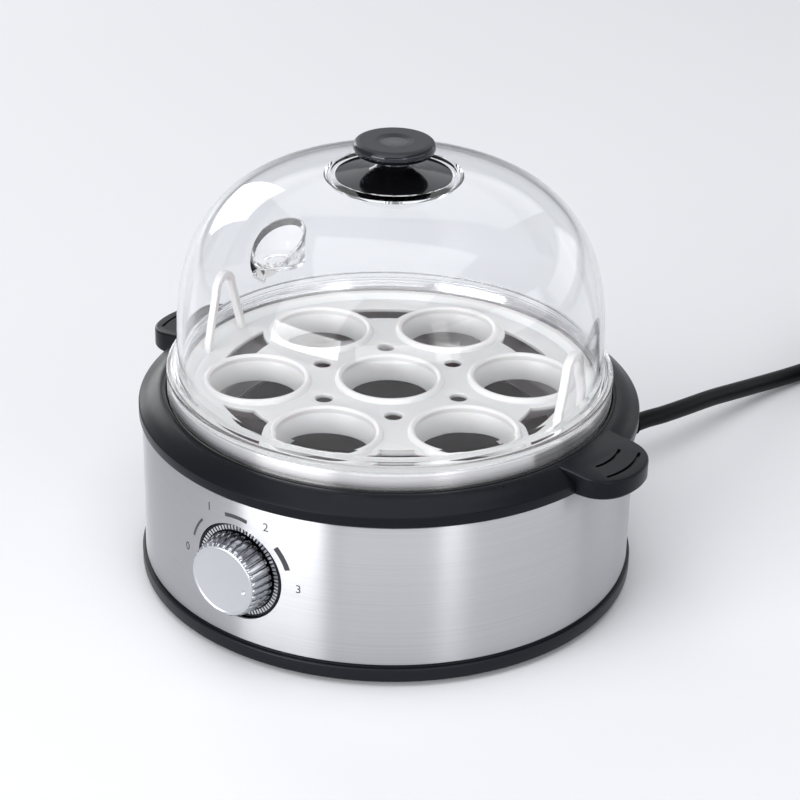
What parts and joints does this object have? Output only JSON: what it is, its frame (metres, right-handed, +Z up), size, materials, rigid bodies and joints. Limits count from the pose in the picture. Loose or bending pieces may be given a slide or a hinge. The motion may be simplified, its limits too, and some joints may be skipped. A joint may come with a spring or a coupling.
{
  "type": "egg boiler",
  "caption": "Low round steam boiler for eggs: steel-banded base with a front dial, lift-out seat tray, clear domed lid with a knob, and a mains lead.",
  "frame": {"origin": "bottom centre, on the surface it stands on, of the object without its lead: midway between the dial's face and the back of the base", "axes": "+Z up; the dial faces -Y; the two handles lie along X; the lead leaves at the back, towards +Y"},
  "size_m": [0.2756, 0.4019, 0.1683],
  "materials": {
    "satin_black": "satin, fine texture",
    "brushed_band": "brushed round the band",
    "ring_black": "satin, glossy side",
    "pan_steel": "satin, lightly polished rim",
    "seal": "matte silicone",
    "plate_coat": "dark non-stick coat, satin",
    "element_steel": "dull sheath",
    "plain_steel": "zinc plated",
    "ceramic_white": "matte",
    "fuse_sleeve": "matte silicone sleeve",
    "bezel_black": "satin",
    "clear_ring": "clear, fine ribs",
    "regulator_body": "moulded, matte",
    "lamp_amber": "clear amber",
    "knob_silver": "satin face, bright flutes",
    "tray_milky": "milky, soft gloss",
    "dome_clear": "clear, polished",
    "knob_black": "gloss sides, satin top",
    "washer_clear": "clear",
    "foot_rubber": "matte",
    "lead_black": "satin",
    "block_white": "matte",
    "pin_brass": "nickel plated"
  },
  "bodies": {
    "base": {"base_cover": "satin_black", "steel_sleeve": "brushed_band", "top_ring": "ring_black", "water_pan": "pan_steel", "pan_seal": "seal", "heating_plate": "plate_coat", "heating_element": "element_steel", "pan_strap": "plain_steel", "thermostat": "ceramic_white", "thermal_fuse": "fuse_sleeve", "dial_bezel": "bezel_black", "light_ring": "clear_ring", "regulator": "regulator_body", "indicator_lamp": "lamp_amber", "rubber_foot_1": "foot_rubber", "strain_relief": "lead_black", "terminal_block": "block_white", "plug_pin_left": "pin_brass", "strap_nut_left": "plain_steel", "strap_nut_right": "plain_steel", "regulator_bracket": "plain_steel", "bush_nut": "plain_steel", "bracket_screw_1": "plain_steel", "bracket_screw_2": "plain_steel", "base_screw_1": "plain_steel", "base_screw_2": "plain_steel", "base_screw_3": "plain_steel", "base_screw_4": "plain_steel", "clamp_screw_1": "plain_steel", "clamp_screw_2": "plain_steel", "block_screw": "plain_steel", "plate_seal": "seal", "rubber_foot_2": "foot_rubber", "rubber_foot_3": "foot_rubber", "rubber_foot_4": "foot_rubber", "cord_clamp": "satin_black", "cord_inner": "lead_black", "mains_cord": "lead_black", "cord_coil": "lead_black", "plug": "lead_black", "plug_pin_right": "pin_brass"},
    "tray": {"seat_tray": "tray_milky"},
    "lid": {"lid_dome": "dome_clear", "lid_knob": "knob_black", "lid_washer": "washer_clear", "lid_screw": "plain_steel"},
    "dial": {"dial_knob": "knob_silver", "dial_shaft": "plain_steel"}
  },
  "joints": [
    {"name": "tray_lift", "type": "slide", "parent": "base", "child": "tray", "axis": [0, 0, 1], "range_m": [0, 0.05]},
    {"name": "lid_lift", "type": "slide", "parent": "tray", "child": "lid", "axis": [0, 0, 1], "range_m": [0, 0.08]},
    {"name": "dial_turn", "type": "hinge", "parent": "base", "child": "dial", "pos_m": [0, -0.08715, 0.0355], "axis": [0, -1, 0], "range_deg": [0, 190]}
  ]
}
